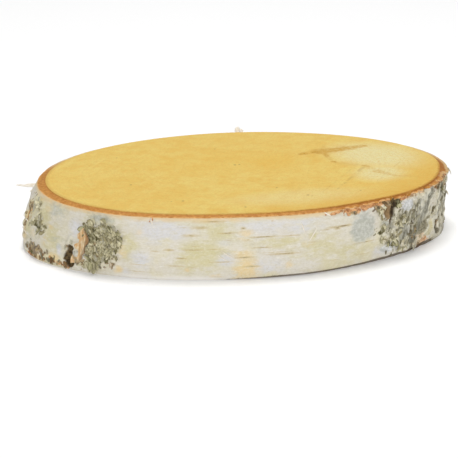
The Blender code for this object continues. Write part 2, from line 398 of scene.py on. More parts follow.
def bark_layers(angle, height):
    """Cover of every patch, 0 to 1, and the relief in millimetres, at points of the bark."""
    height = np.asarray(height, dtype=float)
    radius = wall_radius(angle, np.clip(height * MM / (THICKNESS - RIM_DROP), 0.0, 1.0))
    place = in_millimetres(angle, radius, height)
    long_place = place * (1.0, 1.0, 3.5)
    spots = (
        0.34 * mottle(place, 3.2, 1) + 0.36 * mottle(place, 1.5, 2) + 0.30 * mottle(place, 0.8, 3)
    )
    covers = {
        "lichen": break_up(0.92 * patch_cover(LICHEN, angle, height), spots, 0.40, 0.66),
        "dark_lichen": patch_cover(DARK_LICHEN, angle, height),
        "furrow": break_up(patch_cover(FURROWS, angle, height), mottle(place, 3.0, 4), 0.3, 0.7),
        "plate": break_up(patch_cover(PLATES, angle, height), mottle(place, 2.0, 5)),
        "torn": break_up(patch_cover(TORN, angle, height), mottle(place, 1.4, 6), 0.36, 0.6),
        "crack": crack_cover(CRACKS, angle, height, mottle(place, 4.0, 7)),
        "band": crack_cover(BANDS, angle, height, mottle(place, 3.0, 33)),
        "rough": patch_cover(ROUGH, angle, height),
        "blue_white": patch_cover(BLUE_WHITE, angle, height),
        "grey_film": patch_cover(GREY_FILM, angle, height),
        "green_tint": patch_cover(GREEN_TINT, angle, height),
        "peach": patch_cover(PEACH, angle, height),
        "brown": break_up(patch_cover(BROWN, angle, height), mottle(place, 1.2, 30), 0.3, 0.9),
        "brown_plate": patch_cover(BROWN_PLATE, angle, height),
    }
    # Ridges of weathered bark run up the trunk, and lean with the grain on the far right.
    along = np.radians(signed_turn(angle, RIDGES_FROM)) * WOOD_RADIUS / MM
    lean = np.radians(RIDGE_LEAN) * smooth_step(signed_turn(angle, RIDGES_FROM), 2.0, 14.0)
    across = along * np.cos(lean) - height * np.sin(lean)
    upward = along * np.sin(lean) + height * np.cos(lean)
    ridge_place = np.stack((across, 0.12 * upward, 0.0 * along), axis=1)
    ridge_noise = 0.74 * mottle(ridge_place, 4.6, 8) + 0.26 * mottle(ridge_place, 1.5, 9)
    ridges = 1.0 - abs(2.0 * ridge_noise - 1.0) * 2.2
    crust = 0.5 * crumbs(place, 2.0, 10) + 0.5 * mottle(place, 0.9, 11)
    crust = crust * (0.45 + 0.9 * mottle(place, 3.2, 12))
    sheets = np.round(5.0 * mottle(long_place, 12.0, 17)) / 5.0
    knobs = 1.5 * (mottle(place, 3.4, 18) - 0.45) + 0.8 * (mottle(place, 1.5, 19) - 0.5)
    relief = (
        0.50 * (mottle(place, 15.0, 13) - 0.5)
        + 0.22 * (mottle(long_place, 6.0, 14) - 0.5)
        + 0.30 * (sheets - 0.5)
        + smooth_step(covers["rough"], 0.1, 0.9) * 0.6 * knobs
        + 0.9 * smooth_step(patch_cover(KNOBS, angle, height), 0.0, 1.3)
        + covers["lichen"] * (0.1 + 0.8 * crust)
        + covers["furrow"] * (1.0 - covers["plate"]) * (0.1 + 0.85 * ridges)
        + covers["plate"] * (0.8 + 0.3 * ridges)
        - 0.5 * covers["torn"]
        - 1.7 * covers["crack"]
        - 0.5 * covers["band"]
        - 1.2 * swell(angle, 0.0, 36.0) * smooth_step(-height, -29.4, -26.0)
    )
    # The saw has chipped the top edge of the bark along one side.
    chipped = smooth_step(np.degrees(angle), *CHIPPED_FROM) * smooth_step(height, 26.8, 29.6)
    chipped = chipped * smooth_step(mottle(place, 2.6, 28), 0.3, 0.7)
    relief = relief - 1.7 * chipped
    covers["torn"] = np.maximum(covers["torn"], 0.9 * chipped)
    covers["ridges"] = ridges
    return covers, relief


column = np.tile(np.arange(COLUMNS + 1), SECTION_ROWS + 1)
row = np.repeat(np.arange(SECTION_ROWS + 1) % SECTION_ROWS, COLUMNS + 1)
angle = 2.0 * np.pi * (column % COLUMNS) / COLUMNS
wall_height = THICKNESS - RIM_DROP
on_foot = row < FOOT_ROWS
on_wall = (row >= FOOT_ROWS) & (row < FOOT_ROWS + WALL_ROWS)
on_rim = (row >= FOOT_ROWS + WALL_ROWS) & (row < SECTION_ROWS - 1)
level = np.clip((row - FOOT_ROWS) / (WALL_ROWS - 1), 0.0, 1.0)
height = np.where(on_foot, 0.0, FOOT_BEVEL + level * (wall_height - FOOT_BEVEL))

covers, relief = bark_layers(angle, height / MM)
relief = np.where(on_foot, 0.0, relief)
plain_radius = wall_radius(angle, level)
turn = np.degrees(angle)
shaded_undercut_foot = smooth_step(turn, DARK_FOOT_FROM, DARK_FOOT_FROM + 22.0)
shaded_undercut_foot = shaded_undercut_foot * smooth_step(turn, DARK_FOOT_TO + 4.0, DARK_FOOT_TO - 8.0)

foot_waves = mottle(np.stack((90.0 * angle, 0 * angle, 0 * angle), axis=1), 3.5, 32)
under = UNDERCUT * shaded_undercut_foot * (0.5 + foot_waves) * smooth_step(turn, 272.0, 322.0)
under_top = 0.8 + 0.7 * smooth_step(turn, 262.0, 290.0) + 0.8 * smooth_step(turn, 300.0, 325.0)
relief = relief - np.where(on_wall, under * smooth_step(under_top - height / MM, 0.0, 0.9), 0.0)
outer_radius = plain_radius + relief * MM
wood_edge = sawn_edge(angle)
foot_edge = wood_foot_radius(angle)
rim_part = np.clip((row - FOOT_ROWS - WALL_ROWS + 1) / RIM_ROWS, 0.0, 1.0)
foot_part = np.clip(row / (FOOT_ROWS - 1), 0.0, 1.0)
foot_outer = wall_radius(angle, 0.0) - FOOT_BEVEL - under * MM
rim_outer = outer_radius[row == FOOT_ROWS + WALL_ROWS - 1][column]
radius = np.where(on_wall, outer_radius, 0.0)
radius = np.where(
    on_foot, (foot_edge - INNER_LAP) * (1.0 - foot_part) + foot_outer * foot_part, radius
)
radius = np.where(
    on_rim, rim_outer * (1.0 - rim_part) + (wood_edge - INNER_LAP) * rim_part, radius
)
inner_row = row == SECTION_ROWS - 1
radius = np.where(inner_row, 0.5 * (wood_edge + foot_edge) - INNER_LAP, radius)

rim_place = in_millimetres(angle, radius, 0 * angle)
torn_side = smooth_step(turn, 292.0, 306.0)
edge_wear = (1.0 - rim_part) ** 1.5 * (mottle(rim_place, 1.5, 13) - 0.5) * (0.5 + 1.3 * torn_side)
rim_drop = RIM_DROP * (1.0 - rim_part) + 0.00012
rim_height = THICKNESS - rim_drop + (edge_wear + 0.10 * (mottle(rim_place, 0.9, 14) - 0.5)) * MM
up = np.where(on_rim, np.minimum(rim_height, THICKNESS), height)
up = np.where(inner_row, 0.5 * THICKNESS, up)
lift = FOOT_LIFT * shaded_undercut_foot * (0.4 + 1.2 * mottle(rim_place, 6.0, 24))
up = np.where(on_foot, foot_part * lift, np.where(on_wall & (level < 0.03), up + lift, up))

bpy.ops.object.select_all(action="DESELECT")
bpy.ops.mesh.primitive_grid_add(x_subdivisions=COLUMNS, y_subdivisions=SECTION_ROWS, size=0.1)
bark = bpy.context.object
bark.name = "bark"
bark.data.name = "bark"


def move_points(piece, new_places):
    piece.data.vertices.foreach_set("co", new_places.astype(np.float32).ravel())
    piece.data.update()


def keep_on_points(piece, name, values):
    """A value on every point of a piece, for its material to read."""
    kept = piece.data.attributes.new(name, "FLOAT", "POINT")
    kept.data.foreach_set("value", np.asarray(values, dtype=np.float32))


def turn_faces_out():
    bpy.ops.object.mode_set(mode="EDIT")
    bpy.ops.mesh.select_all(action="SELECT")
    bpy.ops.mesh.normals_make_consistent(inside=False)
    bpy.ops.object.mode_set(mode="OBJECT")


move_points(bark, on_trunk(angle, radius, up))
from_outer = np.where(on_rim, (rim_outer - radius) / MM, 0.0)
from_outer = np.where(on_foot, (foot_outer - radius) / MM - 1.0 * (foot_part == 1.0), from_outer)
from_outer = np.where(on_wall, -1.0 * (level < 1.0), from_outer)
from_outer = np.where(inner_row, 5.0, from_outer)
# The lows of the relief are kept for painted shade in the hollows of the lichen crust.
lows = relief - 0.5 * covers["lichen"] - 0.3 * covers["furrow"]
covers["hollow"] = np.clip(0.5 - lows, 0.0, 1.0)
# Painted shade: the wall is painted dark from the foot up to the top of the undercut, as the shade
# under the lifted foot edge.
covers["shaded_undercut_foot"] = shaded_undercut_foot * smooth_step(under_top - height / MM, -0.1, 0.8)
# Painted light: the lowest few millimetres of the wall are marked pale along the second arc, as light
# thrown up from the white table.
pale_foot = smooth_step(turn, PALE_FOOT_FROM - 6.0, PALE_FOOT_FROM + 6.0)
pale_foot = pale_foot * smooth_step(-turn, -PALE_FOOT_TO - 6.0, -PALE_FOOT_TO + 6.0)
covers["pale_foot"] = pale_foot * smooth_step(-height / MM, -3.0, -0.8)
covers["hand_placed"] = smooth_step(turn, 196.0, 204.0) * smooth_step(-turn, -330.0, -320.0)
covers["torn_side"] = torn_side * smooth_step(turn, 360.0, 352.0)
covers["from_outside"] = from_outer
rim_end = 0.85 * swell(angle, 6.0, 24.0) * (0.5 + mottle(rim_place, 1.4, 29))
covers["rim_end"] = np.clip(rim_end, 0.0, 1.0)
covers["far_side"] = smooth_step(-abs(signed_turn(angle, 95.0)), -88.0, -68.0)
covers["from_wood"] = np.where(on_rim | on_foot, (radius - wood_edge) / MM, 5.0)
for name, cover in covers.items():
    keep_on_points(bark, name, cover)

place_map = bark.data.uv_layers[0]
place_map.name = "bark_place"
corner_point = np.zeros(len(bark.data.loops), dtype=np.int32)
bark.data.loops.foreach_get("vertex_index", corner_point)
turn_and_height = np.stack((column * 360.0 / COLUMNS, up / MM), axis=1)[corner_point]
place_map.data.foreach_set("uv", turn_and_height.astype(np.float32).ravel())

# The map for baking cuts the long band into strips that lie above each other.
STRIPS = 4
strip_columns = COLUMNS // STRIPS
section = np.cumsum(np.array((0.0, 1.2, 1.2) + (0.5,) * (WALL_ROWS + RIM_ROWS) + (6.0, 6.0)))
section_part = section / section[-1]
corner_column = column[corner_point].reshape(-1, 4)
corner_row = np.repeat(np.arange(SECTION_ROWS + 1), COLUMNS + 1)[corner_point].reshape(-1, 4)
strip = corner_column.min(axis=1) // strip_columns
strip_u = (corner_column - strip[:, None] * strip_columns) / strip_columns
strip_v = (strip[:, None] + 0.01 + 0.98 * section_part[corner_row]) / STRIPS
bake_map = bark.data.uv_layers.new(name="OFBake")
bake_map.data.foreach_set(
    "uv", np.stack((strip_u, strip_v), axis=2).astype(np.float32).ravel()
)

bpy.ops.object.mode_set(mode="EDIT")
bpy.ops.mesh.select_all(action="SELECT")
bpy.ops.mesh.remove_doubles(threshold=1e-6)
bpy.ops.object.mode_set(mode="OBJECT")
turn_faces_out()
bpy.ops.object.shade_smooth()


def new_finish(name):
    """A material, its node tree, and the place of a point on its piece."""
    finish = bpy.data.materials.new(name)
    finish.use_nodes = True
    return finish, finish.node_tree, finish.node_tree.nodes.new("ShaderNodeTexCoord").outputs["Object"]


def node(kind, inputs=None, **settings):
    """A node in the tree of the finish in hand, its sockets linked or set."""
    made = tree.nodes.new(kind)
    for name, value in settings.items():
        setattr(made, name, value)
    for socket, value in (inputs or {}).items():
        if isinstance(value, bpy.types.NodeSocket):
            tree.links.new(value, made.inputs[socket])
        else:
            made.inputs[socket].default_value = value
    return made


def kept(name):
    return node("ShaderNodeAttribute", attribute_name=name).outputs["Fac"]


def maths(operation, first, second=0.0):
    made = node("ShaderNodeMath", {0: first, 1: second}, operation=operation)
    return made.outputs[0]


def plus(first, second):
    return maths("ADD", first, second)


def times(first, second):
    return maths("MULTIPLY", first, second)


def step(value, low, high, bottom=0.0, top=1.0):
    made = node(
        "ShaderNodeMapRange",
        {"Value": value, "From Min": low, "From Max": high, "To Min": bottom, "To Max": top},
        interpolation_type="SMOOTHSTEP",
    )
    return made.outputs["Result"]


def blend(factor, under, over):
    made = node("ShaderNodeMix", {0: factor, 6: under, 7: over}, data_type="RGBA")
    return made.outputs[2]


def coat(under, cover, low, high, strength, over):
    """Lays a colour over another where a cover rises from low to high."""
    return blend(step(cover, low, high, 0.0, strength), under, over)


def grain(place, scale, detail=3.0, roughness=0.55, stretch=(1.0, 1.0, 1.0)):
    """Noise whose scale is the number of blobs in a metre."""
    mapped = node("ShaderNodeMapping", {"Vector": place, "Scale": stretch})
    noise = node(
        "ShaderNodeTexNoise",
        {
            "Vector": mapped.outputs[0],
            "Scale": scale,
            "Detail": detail,
            "Roughness": roughness,
        },
    )
    return noise.outputs["Fac"]


def tone(red, green, blue):
    """A colour as it looks in daylight, 0 to 255, as the light it sends back."""
    lit = [(part / 255.0) ** 2.2 for part in (red, green, blue)]
    return (*lit, 1.0)


def two_tones(noise, low, high, first, second):
    """A grain that goes from one tone to another as its noise rises from low to high."""
    return blend(step(noise, low, high), tone(*first), tone(*second))


def put_on(piece, finish, colour, roughness, gloss, relief, strength, depth):
    """Ends a finish with its colour, its roughness and its fine relief, and puts it on a piece."""
    bump = node("ShaderNodeBump", {"Strength": strength, "Distance": depth, "Height": relief})
    shader = tree.nodes["Principled BSDF"]
    shader.inputs["Specular IOR Level"].default_value = gloss
    tree.links.new(colour, shader.inputs["Base Color"])
    tree.links.new(roughness, shader.inputs["Roughness"])
    tree.links.new(bump.outputs["Normal"], shader.inputs["Normal"])
    piece.data.materials.append(finish)


# Lenticels, the corky pores that lie across the bark: direction in degrees, height in
# millimetres, half length in degrees, half height in millimetres, and depth of colour.
LENTICELS = (
    (259.5, 28.2, 4.6, 0.5, 0.8), (255.6, 25.3, 3.2, 1, 0.6), (250.4, 25.3, 2, 0.4, 0.3),
    (252.5, 21.5, 3.4, 1, 0.5), (264.1, 22.5, 3.6, 0.5, 0.7), (276.7, 20.1, 6.4, 0.4, 0.75),
    (286.5, 19.9, 5, 0.5, 0.5), (276.4, 15, 5, 0.35, 0.7), (281.6, 12.4, 8.4, 0.35, 0.4),
    (284, 11.4, 6, 0.55, 0.85), (246.1, 14.6, 1.8, 0.6, 0.75), (253.3, 14.7, 3.4, 0.4, 0.85),
    (254.3, 16.4, 2.2, 0.3, 0.4), (260, 14.9, 3.6, 0.45, 0.45), (249.9, 10.6, 1.8, 0.5, 0.8),
    (270, 10.6, 3.4, 0.5, 0.75), (262.3, 8.7, 4.2, 0.35, 0.7), (248.1, 6.9, 3.2, 0.4, 0.6),
    (253, 6.2, 2.2, 0.5, 0.3), (272.6, 6.1, 3.4, 0.5, 0.75), (260.6, 1.6, 2.6, 0.4, 0.7),
    (299, 21.1, 2.7, 0.4, 0.5), (305.1, 21.8, 5.2, 0.55, 1), (303.2, 21.3, 1.2, 0.9, 1),
    (314.3, 11.8, 5, 0.4, 0.7), (313.4, 6, 3.6, 0.4, 0.4), (302.5, 5.5, 4, 0.35, 0.25),
    (242.2, 13.8, 1.5, 0.4, 0.4), (237.5, 6.9, 4.2, 0.35, 0.3), (237, 3.6, 4.4, 0.3, 0.4),
    (293.8, 15.8, 4.6, 0.35, 0.3), (269.6, 24.6, 1, 0.7, 0.7), (271.2, 19, 0.6, 0.5, 0.5),
    (264.8, 19, 2.2, 0.3, 0.35), (279.5, 27.6, 0.5, 0.4, 0.6), (286.4, 8, 0.5, 0.4, 0.5),
)

bark_skin, tree, place = new_finish("birch_bark")
bark_place = node("ShaderNodeUVMap", uv_map="bark_place").outputs["UV"]

cloud = step(grain(place, 75.0, 5.0, 0.62), 0.33, 0.67)
wisps = step(grain(place, 150.0, 6.0, 0.68, (1.0, 1.0, 2.6)), 0.32, 0.68)
streaks = grain(place, 130.0, 5.0, 0.65, (1.0, 1.0, 8.0))
grit = grain(place, 520.0, 5.0, 0.72)
fine = grain(place, 1500.0, 3.0)
ridge_grain = grain(place, 520.0, 4.0, 0.65, (1.0, 1.0, 0.3))


def tint(colour, cover, spread, strength, over):
    """Lays a stain over a colour; its edge runs out in wisps where the spread noise is low."""
    frayed = plus(cover, times(spread, 0.75))
    amount = times(step(frayed, 0.45, 1.45), strength)
    return blend(amount, colour, over)


colour = two_tones(streaks, 0.3, 0.7, (214, 207, 186), (222, 216, 201))
colour = blend(times(cloud, 0.5), colour, tone(217, 212, 205))
cream = grain(place, 58.0, 4.0, 0.5)
colour = coat(colour, cream, 0.48, 0.64, 0.75, tone(217, 208, 168))
colour = tint(colour, kept("green_tint"), wisps, 0.95, tone(208, 199, 152))
colour = tint(colour, kept("blue_white"), wisps, 0.95, tone(214, 213, 215))
colour = tint(colour, kept("peach"), wisps, 0.75, tone(233, 204, 138))
speckle = grain(place, 800.0, 3.0, 0.7, (1.0, 1.0, 1.6))
colour = coat(colour, speckle, 0.5, 0.64, 0.25, tone(234, 230, 218))
colour = coat(colour, speckle, 0.5, 0.36, 0.25, tone(204, 195, 164))
pale_fleck = grain(place, 420.0, 3.0, 0.6, (1.0, 1.0, 2.0))
colour = coat(colour, pale_fleck, 0.58, 0.70, 0.4, tone(236, 232, 224))
dull_fleck = grain(place, 360.0, 4.0, 0.65, (1.0, 1.0, 3.0))
colour = coat(colour, dull_fleck, 0.43, 0.32, 0.35, tone(190, 182, 152))

marks = None
ragged = times(maths("SUBTRACT", grit, 0.5), 1.5)
for direction, mark_height, half_length, half_height, depth in LENTICELS:
    squeeze = (1.0 / half_length, 1.0 / half_height, 0.0)
    shift = (-direction / half_length, -mark_height / half_height, 0.0)
    squeezed = node(
        "ShaderNodeVectorMath",
        {0: bark_place, 1: squeeze, 2: shift},
        operation="MULTIPLY_ADD",
    ).outputs[0]
    reach = node("ShaderNodeVectorMath", {0: squeezed}, operation="LENGTH").outputs["Value"]
    reach = plus(reach, 0.9 * (1.0 - depth))
    marks = reach if marks is None else maths("MINIMUM", marks, reach)
random_pores = node(
    "ShaderNodeTexVoronoi",
    {"Vector": node("ShaderNodeMapping", {"Vector": place, "Scale": (50.0, 50.0, 240.0)}).outputs[0]},
).outputs["Distance"]
hand_placed = step(kept("hand_placed"), 0.0, 1.0, 0.0, 0.9)
random_pores = plus(times(random_pores, 4.5), hand_placed)
marks = maths("MINIMUM", marks, random_pores)
marks = plus(marks, ragged)
core = step(marks, 0.75, 0.10, 0.0, 0.8)
colour = coat(colour, marks, 1.6, 0.6, 0.66, tone(198, 178, 128))
colour = blend(core, colour, tone(134, 114, 80))

# The wood dust and sap of the saw cut have stained the skin just under the rim.
height_up = node("ShaderNodeSeparateXYZ", {0: bark_place}).outputs["Y"]
near_saw = plus(height_up, times(wisps, 1.6))
colour = coat(colour, near_saw, 27.8, 30.4, 0.8, tone(226, 198, 146))
# Painted light from the white table on the foot of the bark.
colour = blend(times(kept("pale_foot"), 0.75), colour, tone(240, 236, 230))

torn_colour = two_tones(grit, 0.42, 0.58, (160, 98, 50), (226, 166, 108))
colour = coat(colour, kept("torn"), 0.3, 0.7, 0.9, torn_colour)

gritty = two_tones(grit, 0.40, 0.60, (178, 169, 134), (234, 229, 212))
gritty = blend(times(cloud, 0.5), gritty, tone(220, 212, 174))
worn = two_tones(grit, 0.40, 0.60, (134, 126, 94), (224, 219, 200))
gritty = coat(gritty, kept("rough"), 0.95, 1.3, 0.9, worn)
rough_cover = plus(kept("rough"), times(wisps, 0.5))
colour = coat(colour, rough_cover, 0.6, 1.4, 0.75, gritty)
film = two_tones(grit, 0.42, 0.60, (178, 179, 168), (200, 201, 193))
colour = tint(colour, kept("grey_film"), wisps, 0.88, film)

ridge_tops = plus(kept("ridges"), ridge_grain)
ridge_tops = plus(ridge_tops, times(maths("SUBTRACT", wisps, 0.5), 0.8))
ridge_colour = two_tones(ridge_tops, 0.35, 0.75, (82, 74, 46), (146, 138, 112))
ridge_colour = coat(ridge_colour, ridge_tops, 0.75, 1.15, 1.0, tone(214, 209, 190))
colour = coat(colour, kept("furrow"), 0.2, 0.9, 0.85, ridge_colour)
plate_colour = two_tones(ridge_grain, 0.40, 0.60, (134, 130, 112), (202, 199, 186))
colour = coat(colour, kept("plate"), 0.3, 0.8, 0.9, plate_colour)

white_skin = two_tones(grit, 0.40, 0.60, (186, 187, 182), (222, 222, 222))
white_cover = plus(kept("blue_white"), times(ragged, 0.6))
colour = coat(colour, white_cover, 1.0, 1.3, 0.9, white_skin)

crust_light = two_tones(grit, 0.41, 0.59, (144, 134, 100), (224, 217, 186))
crust_dark = two_tones(grit, 0.41, 0.62, (84, 78, 46), (182, 176, 138))
darkness = plus(kept("dark_lichen"), times(cloud, 0.6))
crust_colour = blend(step(darkness, 0.35, 1.25), crust_light, crust_dark)
# Painted shade: the crust is darkened in the hollows of its relief.
crust_colour = coat(crust_colour, kept("hollow"), 0.5, 1.0, 0.7, tone(72, 62, 36))
colour = coat(colour, kept("lichen"), 0.25, 0.85, 1.0, crust_colour)
band_colour = two_tones(ridge_grain, 0.38, 0.62, (98, 95, 78), (166, 163, 148))
colour = coat(colour, kept("band"), 0.1, 0.8, 0.85, band_colour)
umber = two_tones(grit, 0.40, 0.60, (84, 66, 38), (176, 150, 108))
colour = coat(colour, kept("brown"), 0.1, 0.9, 0.85, umber)
plate_brown = two_tones(ridge_grain, 0.40, 0.60, (82, 64, 40), (142, 114, 78))
colour = coat(colour, kept("brown_plate"), 0.2, 0.7, 0.9, plate_brown)
crack_colour = two_tones(grit, 0.42, 0.58, (58, 45, 27), (104, 86, 56))
colour = coat(colour, kept("crack"), 0.15, 0.7, 1.0, crack_colour)
# Painted shade under the undercut foot edge, with a ragged upper edge.
painted_foot_shade = plus(kept("shaded_undercut_foot"), times(ragged, 0.8))
colour = coat(colour, painted_foot_shade, 0.3, 0.9, 0.8, tone(76, 58, 38))

# The sawn rim: a cream fringe of outer bark, orange-brown inner bark, and a dark line at the wood.
outside = kept("from_outside")
rim_noise = step(grain(place, 650.0, 4.0, 0.65), 0.3, 0.7)
torn_edge = kept("torn_side")
sawn_colour = blend(rim_noise, tone(204, 146, 74), tone(176, 114, 50))
dark_line = plus(times(torn_edge, 0.75), 0.2)
dark_line = times(dark_line, step(kept("from_wood"), 1.3, 0.1))
sawn_colour = blend(dark_line, sawn_colour, tone(158, 100, 42))
fringe = plus(outside, times(rim_noise, 0.6))
sawn_colour = coat(sawn_colour, fringe, 0.9, 0.3, 0.85, tone(228, 180, 120))
tip_colour = two_tones(outside, 2.2, 0.9, (156, 98, 42), (208, 176, 128))
sawn_colour = blend(kept("rim_end"), sawn_colour, tip_colour)
far_colour = two_tones(outside, 2.6, 1.2, (224, 186, 114), (226, 204, 164))
sawn_colour = blend(kept("far_side"), sawn_colour, far_colour)
colour = coat(colour, outside, -0.35, -0.05, 1.0, sawn_colour)
roughness = step(streaks, 0.2, 0.8, 0.6, 0.8)
fine_relief = plus(times(streaks, 0.5), times(fine, 0.2))
fine_relief = plus(fine_relief, times(grit, 0.5))
fine_relief = maths("SUBTRACT", fine_relief, times(core, 0.5))
put_on(bark, bark_skin, colour, roughness, 0.3, fine_relief, 0.6, 0.0005)
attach(bark, "root")
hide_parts("birch_slice")

# The lichen. It is a grey-green crust that lives on the bark, and its outer part is hundreds of
# small curled lobes, which spread away from the middle of each patch and overlap each other.
LOBE_SPACING = 1.0
LOBE_LENGTHS = (0.55, 2.1)
LOBE_WIDTHS = (0.4, 0.9)
LOBE_TIPS_UP = (-0.05, 0.5)
LOBE_THICKNESS = 0.22
# On the far side nothing grows above this height, in millimetres. Past this direction, in
# radians, the lichen is thin.
FAR_TOP = 25.0
THIN_FROM = 5.2
ABOVE_TABLE = 0.0001


def point_places(piece):
    found = np.zeros(len(piece.data.vertices) * 3, dtype=np.float32)
    piece.data.vertices.foreach_get("co", found)
    return found.reshape(-1, 3).astype(float)


def unit(directions):
    return directions / np.linalg.norm(directions, axis=1)[:, None]


def surface_frame(angle, height, lift):
    """Points on the finished bark, with the directions round it, up it and out of it."""
    angle, height = np.asarray(angle, dtype=float), np.asarray(height, dtype=float)
    relief = bark_layers(angle, height)[1]
    part_up = np.clip(height * MM / wall_height, 0.0, 1.0)
    radius = wall_radius(angle, part_up) + (relief + lift) * MM
    below = 0.03 * (part_up > 0.03)
    lean = wall_radius(angle, np.clip(part_up + 0.03, 0, 1)) - wall_radius(angle, part_up - below)
    rise = 0.03 * wall_height * (1.0 + (part_up > 0.03))
    outward = unit(np.stack((np.cos(angle), np.sin(angle), -lean / rise), axis=1))
    around = np.stack((-np.sin(angle), np.cos(angle), 0.0 * angle), axis=1)
    upward = np.cross(outward, around)
    return on_trunk(angle, radius, height * MM), around, upward, outward


def spots_in(patches, spacing, draw):
    """Random spots in patches: angle, height, and the turn that points away from the middle."""
    angles, heights, turns = [], [], []
    for direction, middle, half_length, half_height, lean, strength in patches:
        count = int(math.pi * half_length * half_height * 1.5 * strength / spacing**2)
        reach = 1.25 * np.sqrt(draw.random(count))
        bearing = 2.0 * np.pi * draw.random(count)
        along, above = half_length * reach * np.cos(bearing), half_height * reach * np.sin(bearing)
        turn = math.radians(lean)
        sideways = along * math.cos(turn) + above * math.sin(turn)
        above = above * math.cos(turn) - along * math.sin(turn)
        trunk = wood_radius(math.radians(direction)) / MM
        angles.append(math.radians(direction) + sideways / trunk)
        heights.append(middle + above)
        turns.append(np.arctan2(above, sideways))
    return np.concatenate(angles), np.concatenate(heights), np.concatenate(turns)


def strewn_piece(name, model, frames, turns, tips_up, lengths, widths, thickness, values):
    """One piece of many small copies of a model, each in its own frame, at its own turn and size.

    A turn of 0 lays a copy round the trunk, and a quarter turn lays it straight up.
    """
    place, around, upward, outward = frames
    long_way = np.cos(turns)[:, None] * around + np.sin(turns)[:, None] * upward
    side_way = np.cross(outward, long_way)
    long_way = unit(long_way + tips_up[:, None] * outward)
    outward = np.cross(long_way, side_way)
    size = np.stack((lengths, widths, np.full(len(place), 0.5 * thickness * MM)), axis=1)
    form = point_places(model)
    count, per_copy = len(place), len(form)
    faces = [list(face.vertices) for face in model.data.polygons]
    own_map = np.zeros(len(model.data.loops) * 2, dtype=np.float32)
    model.data.uv_layers[0].data.foreach_get("uv", own_map)
    uneven = 1.0 + 0.45 * (np.random.default_rng(count).random((count, per_copy, 1)) - 0.5)
    spread = form[None, :, :] * size[:, None, :] * np.concatenate((uneven, uneven, 0 * uneven + 1), 2)
    points = (
        place[:, None, :]
        + spread[:, :, 0:1] * long_way[:, None, :]
        + spread[:, :, 1:2] * side_way[:, None, :]
        + spread[:, :, 2:3] * outward[:, None, :]
    )
    under_table = np.minimum(points[:, :, 2].min(axis=1) - ABOVE_TABLE, 0.0)
    points[:, :, 2] -= under_table[:, None]
    all_faces = [
        [corner + per_copy * copy for corner in face] for copy in range(count) for face in faces
    ]
    data = bpy.data.meshes.new(name)
    data.from_pydata(points.reshape(-1, 3).tolist(), [], all_faces)
    piece = bpy.data.objects.new(name, data)
    bpy.context.scene.collection.objects.link(piece)
    cells = math.ceil(math.sqrt(count))
    corner = np.stack((np.arange(count) % cells, np.arange(count) // cells), axis=1)
    cell_map = (corner[:, None, :] + 0.05 + 0.9 * own_map.reshape(1, -1, 2)) / cells
    data.uv_layers.new(name="OFBake").data.foreach_set("uv", cell_map.astype(np.float32).ravel())
    for value_name, value in values.items():
        keep_on_points(piece, value_name, np.repeat(value, per_copy))
    data.polygons.foreach_set("use_smooth", np.ones(len(all_faces), dtype=bool))
    bpy.data.objects.remove(model, do_unlink=True)
    return piece


draw = np.random.default_rng(5)
lobe_angle, lobe_height, lobe_turn = spots_in(LICHEN, LOBE_SPACING, draw)
lobe_covers = bark_layers(lobe_angle, lobe_height)[0]
chance = draw.random(len(lobe_angle))
grown = (lobe_covers["lichen"] > 0.25 + 0.5 * chance) & (lobe_height < 29.0)
grown &= lobe_height > 1.0 + 1.4 * (lobe_angle > THIN_FROM)
grown &= (lobe_covers["crack"] < 0.3) & (lobe_covers["blue_white"] < 1.1)
grown &= (lobe_covers["torn"] < 0.5) | (lobe_angle < THIN_FROM)
grown &= (lobe_height < FAR_TOP) | (np.sin(lobe_angle) < 0.0)
grown &= (lobe_covers["brown_plate"] < 0.3) & (lobe_covers["band"] < 0.4 + 0.6 * chance)
lobe_angle, lobe_height, lobe_turn = (
    kept_spots[grown] for kept_spots in (lobe_angle, lobe_height, lobe_turn)
)
lobe_dark = np.clip(lobe_covers["dark_lichen"][grown] + draw.normal(0.05, 0.3, grown.sum()), 0, 1)
lobe_turn = lobe_turn + draw.normal(0.0, 0.8, len(lobe_turn))
count = len(lobe_turn)
tips_up = draw.uniform(*LOBE_TIPS_UP, count)
lengths = draw.uniform(*LOBE_LENGTHS, count) * MM
widths = lengths * draw.uniform(*LOBE_WIDTHS, count)
soaked = smooth_step(-lobe_height, -8.0, -4.5) * (abs(signed_turn(lobe_angle, 206.0)) < 12.0)
lobe_shade = draw.random(count) * (1.0 - 0.75 * soaked)

bpy.ops.object.select_all(action="DESELECT")
bpy.ops.mesh.primitive_uv_sphere_add(segments=7, ring_count=4, radius=1.0)
lobe = bpy.context.object
form = point_places(lobe)
form[:, 0] += 0.5
form[:, 2] += 1.3 * form[:, 0] ** 2 - 1.2 * form[:, 1] ** 2
move_points(lobe, form)
frames = surface_frame(lobe_angle, lobe_height, -0.08)
values = {"dark": lobe_dark, "own_shade": lobe_shade}
lichen_lobes = strewn_piece(
    "lichen_lobes", lobe, frames, lobe_turn, tips_up, lengths, widths, LOBE_THICKNESS, values
)

lichen_skin, tree, place = new_finish("lichen")
grit = grain(place, 900.0, 3.0, 0.65)
own_shade = kept("own_shade")
pale_lobe = blend(own_shade, tone(160, 150, 114), tone(230, 223, 190))
dark_lobe = blend(own_shade, tone(96, 91, 56), tone(190, 184, 144))
colour = blend(step(kept("dark"), 0.1, 0.9), pale_lobe, dark_lobe)
colour = coat(colour, grit, 0.45, 0.75, 0.4, tone(112, 106, 72))
roughness = step(grit, 0.3, 0.7, 0.82, 0.95)
put_on(lichen_lobes, lichen_skin, colour, roughness, 0.15, grit, 0.5, 0.0002)
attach(lichen_lobes, "root")

